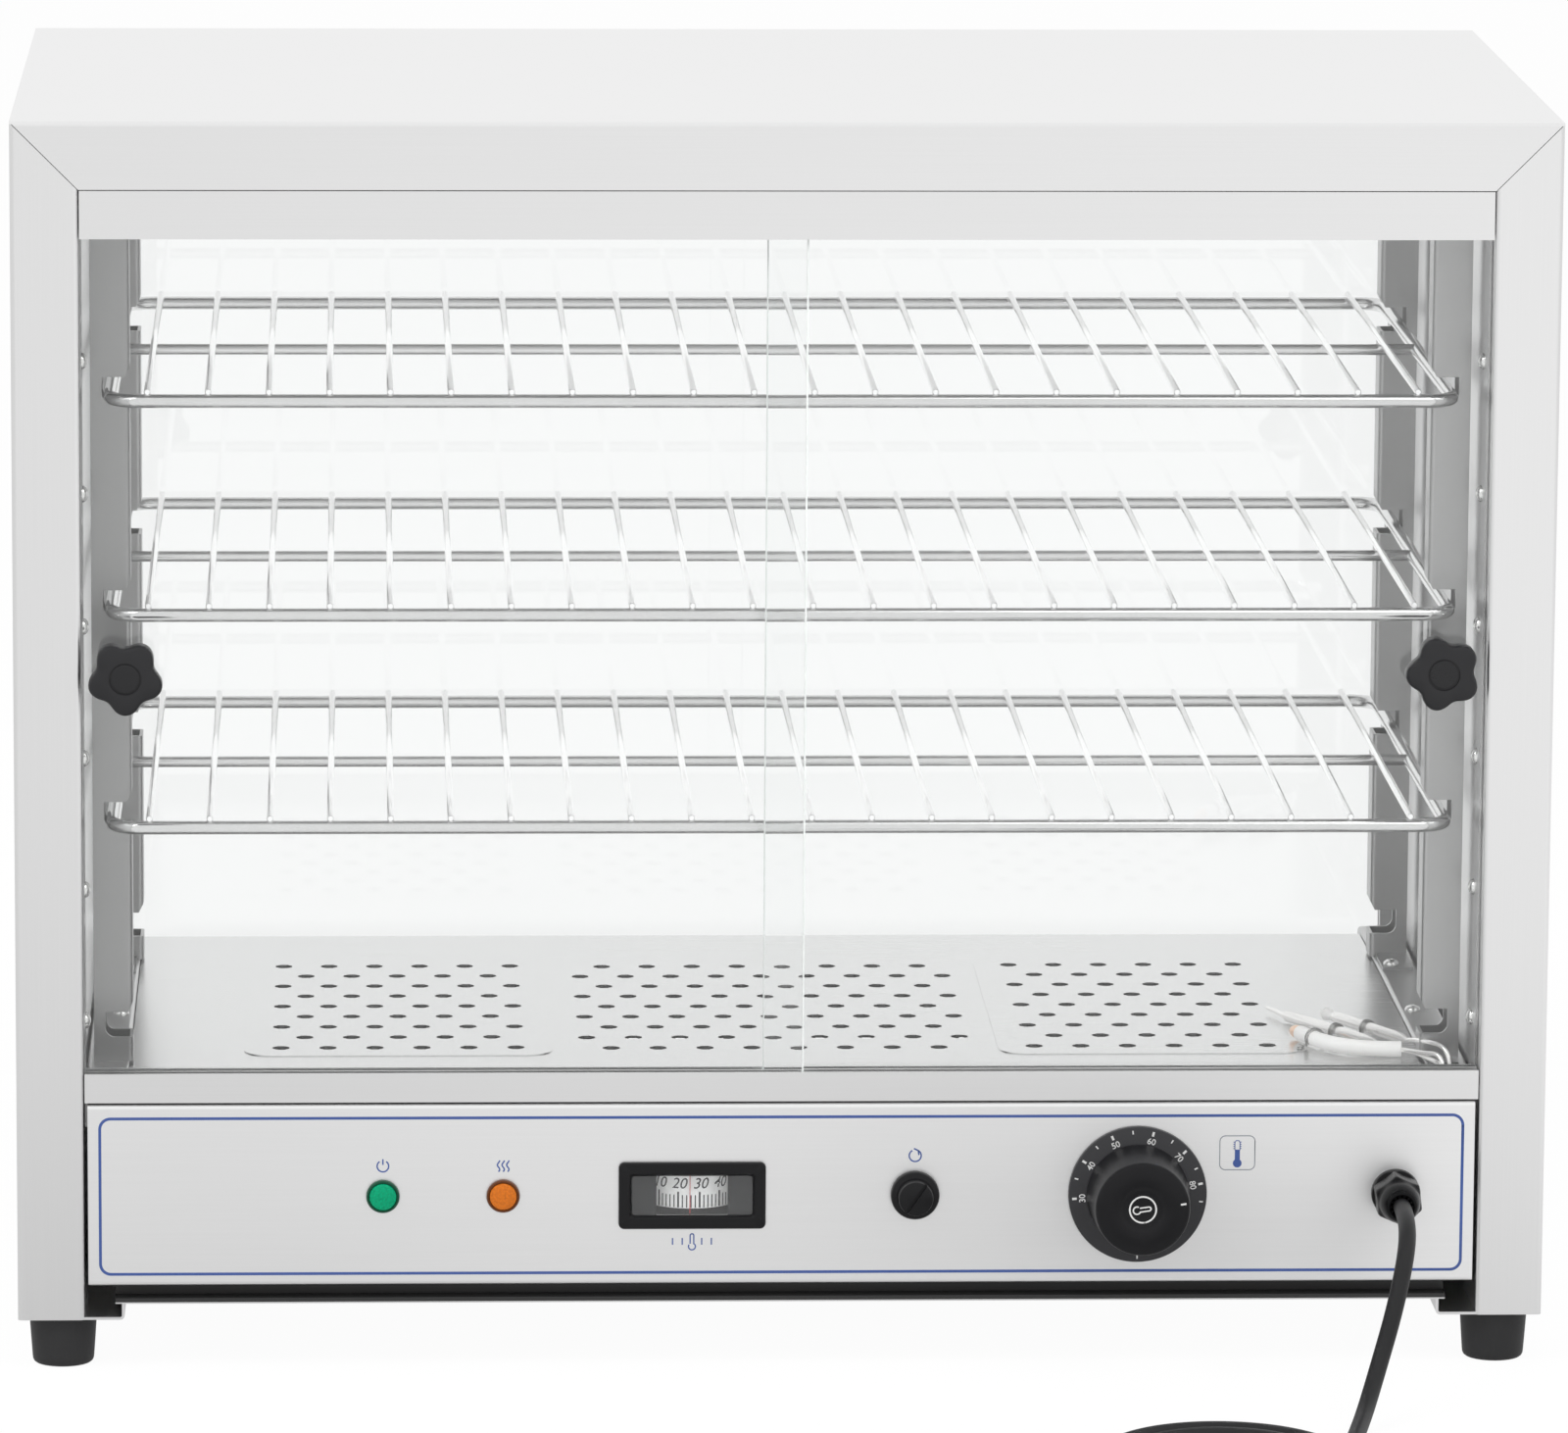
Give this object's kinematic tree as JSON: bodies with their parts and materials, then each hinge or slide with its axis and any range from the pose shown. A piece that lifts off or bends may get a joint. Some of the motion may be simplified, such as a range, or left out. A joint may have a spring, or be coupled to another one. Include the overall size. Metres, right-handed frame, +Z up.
{
  "type": "heated display case",
  "caption": "Counter-top heated display case with sliding glass doors, wire shelves in notched uprights, a perforated floor and a front control panel.",
  "frame": {"origin": "on the surface the feet stand on, under the middle of the case with its dial knob", "axes": "+X to the right seen from the front, +Y from the front to the back, +Z up"},
  "size_m": [0.66, 0.6438, 0.542],
  "materials": {
    "stainless_sheet": "satin stainless, finely brushed",
    "track_metal": "satin anodised",
    "grey_steel": "satin zinc plate",
    "shelf_wire": "bright plated wire",
    "door_glass": "clear",
    "rear_glass": "clear",
    "rear_frame": "satin anodised",
    "black_knob": "semi-gloss moulded",
    "black_trim": "satin moulded",
    "dial_face": "fine satin with light printed numbers",
    "bright_steel": "bright plated",
    "green_lens": "clear tinted",
    "amber_lens": "clear tinted",
    "drum_scale": "printed scale",
    "instrument_window": "clear",
    "rubber_feet": "matte",
    "element_sheath": "satin, lightly tinted by heat",
    "bulb_metal": "plated, one in a pale sleeve with a bare copper tip",
    "stat_body": "moulded switch housing",
    "terminal": "glazed",
    "cord_rubber": "matte",
    "plug_moulding": "moulded with bright pins"
  },
  "bodies": {
    "case": {"top_panel": "stainless_sheet", "ceiling_liner": "stainless_sheet", "side_panel_left": "stainless_sheet", "side_panel_right": "stainless_sheet", "liner_left": "stainless_sheet", "liner_right": "stainless_sheet", "control_panel": "stainless_sheet", "base_pan": "stainless_sheet", "rear_panel": "stainless_sheet", "floor_plate": "stainless_sheet", "header_track": "track_metal", "sill_track": "track_metal", "rear_frame": "rear_frame", "rear_glass": "rear_glass", "upright_front_left": "grey_steel", "upright_front_right": "grey_steel", "upright_rear_left": "grey_steel", "upright_rear_right": "grey_steel", "side_ledge_left": "grey_steel", "side_ledge_right": "grey_steel", "heater_brackets": "grey_steel", "feet": "rubber_feet", "foot_screws": "bright_steel", "case_screws": "bright_steel", "bulb_clips": "bright_steel", "power_lamp_body": "black_trim", "heat_lamp_body": "black_trim", "thermometer_case": "black_trim", "gland_body": "black_trim", "gland_nut": "black_trim", "power_lamp_lens": "green_lens", "heat_lamp_lens": "amber_lens", "thermometer_window": "instrument_window", "dial_ring": "dial_face", "thermometer_bulb": "bulb_metal", "limit_bulb": "bulb_metal", "thermostat_bulb": "bulb_metal", "limit_thermostat": "stat_body", "thermostat_body": "stat_body", "heating_element_left": "element_sheath", "heating_element_right": "element_sheath", "terminal_block": "terminal", "supply_tail": "cord_rubber", "power_cord": "cord_rubber", "cord_coil": "cord_rubber", "plug": "plug_moulding"},
    "left_door": {"door_glass_left": "door_glass", "door_knob_left": "black_knob", "door_screw_left": "bright_steel"},
    "right_door": {"door_glass_right": "door_glass", "door_knob_right": "black_knob", "door_screw_right": "bright_steel"},
    "thermostat_dial": {"thermostat_knob": "black_knob", "thermostat_shaft": "bright_steel"},
    "reset_cap": {"reset_cap": "black_knob"},
    "reset_button": {"reset_button": "black_knob"},
    "thermometer_drum": {"thermometer_drum": "drum_scale"},
    "shelf_lower": {"shelf_lower": "shelf_wire"},
    "shelf_middle": {"shelf_middle": "shelf_wire"},
    "shelf_upper": {"shelf_upper": "shelf_wire"}
  },
  "joints": [
    {"name": "left_door_slide", "type": "slide", "parent": "case", "child": "left_door", "axis": [1, 0, 0], "range_m": [0, 0.25]},
    {"name": "right_door_slide", "type": "slide", "parent": "case", "child": "right_door", "axis": [1, 0, 0], "range_m": [-0.25, 0]},
    {"name": "thermostat_turn", "type": "hinge", "parent": "case", "child": "thermostat_dial", "pos_m": [0.1535, -0.184, 0.0765], "axis": [0, 1, 0], "range_deg": [-261, 15.5]},
    {"name": "reset_cap_pull", "type": "slide", "parent": "case", "child": "reset_cap", "axis": [0, -1, 0], "range_m": [0, 0.016]},
    {"name": "reset_press", "type": "slide", "parent": "case", "child": "reset_button", "axis": [0, 1, 0], "range_m": [0, 0.0015], "stiffness_N_per_m": 200},
    {"name": "thermometer_turn", "type": "hinge", "parent": "case", "child": "thermometer_drum", "pos_m": [-0.0392, -0.1393, 0.0765], "axis": [0, 0, 1], "range_deg": [-242, 64]},
    {"name": "shelf_lower_lift", "type": "slide", "parent": "case", "child": "shelf_lower", "axis": [0, 0, 1], "range_m": [0, 0.0043]},
    {"name": "shelf_middle_lift", "type": "slide", "parent": "case", "child": "shelf_middle", "axis": [0, 0, 1], "range_m": [0, 0.0043]},
    {"name": "shelf_upper_lift", "type": "slide", "parent": "case", "child": "shelf_upper", "axis": [0, 0, 1], "range_m": [0, 0.0043]}
  ]
}
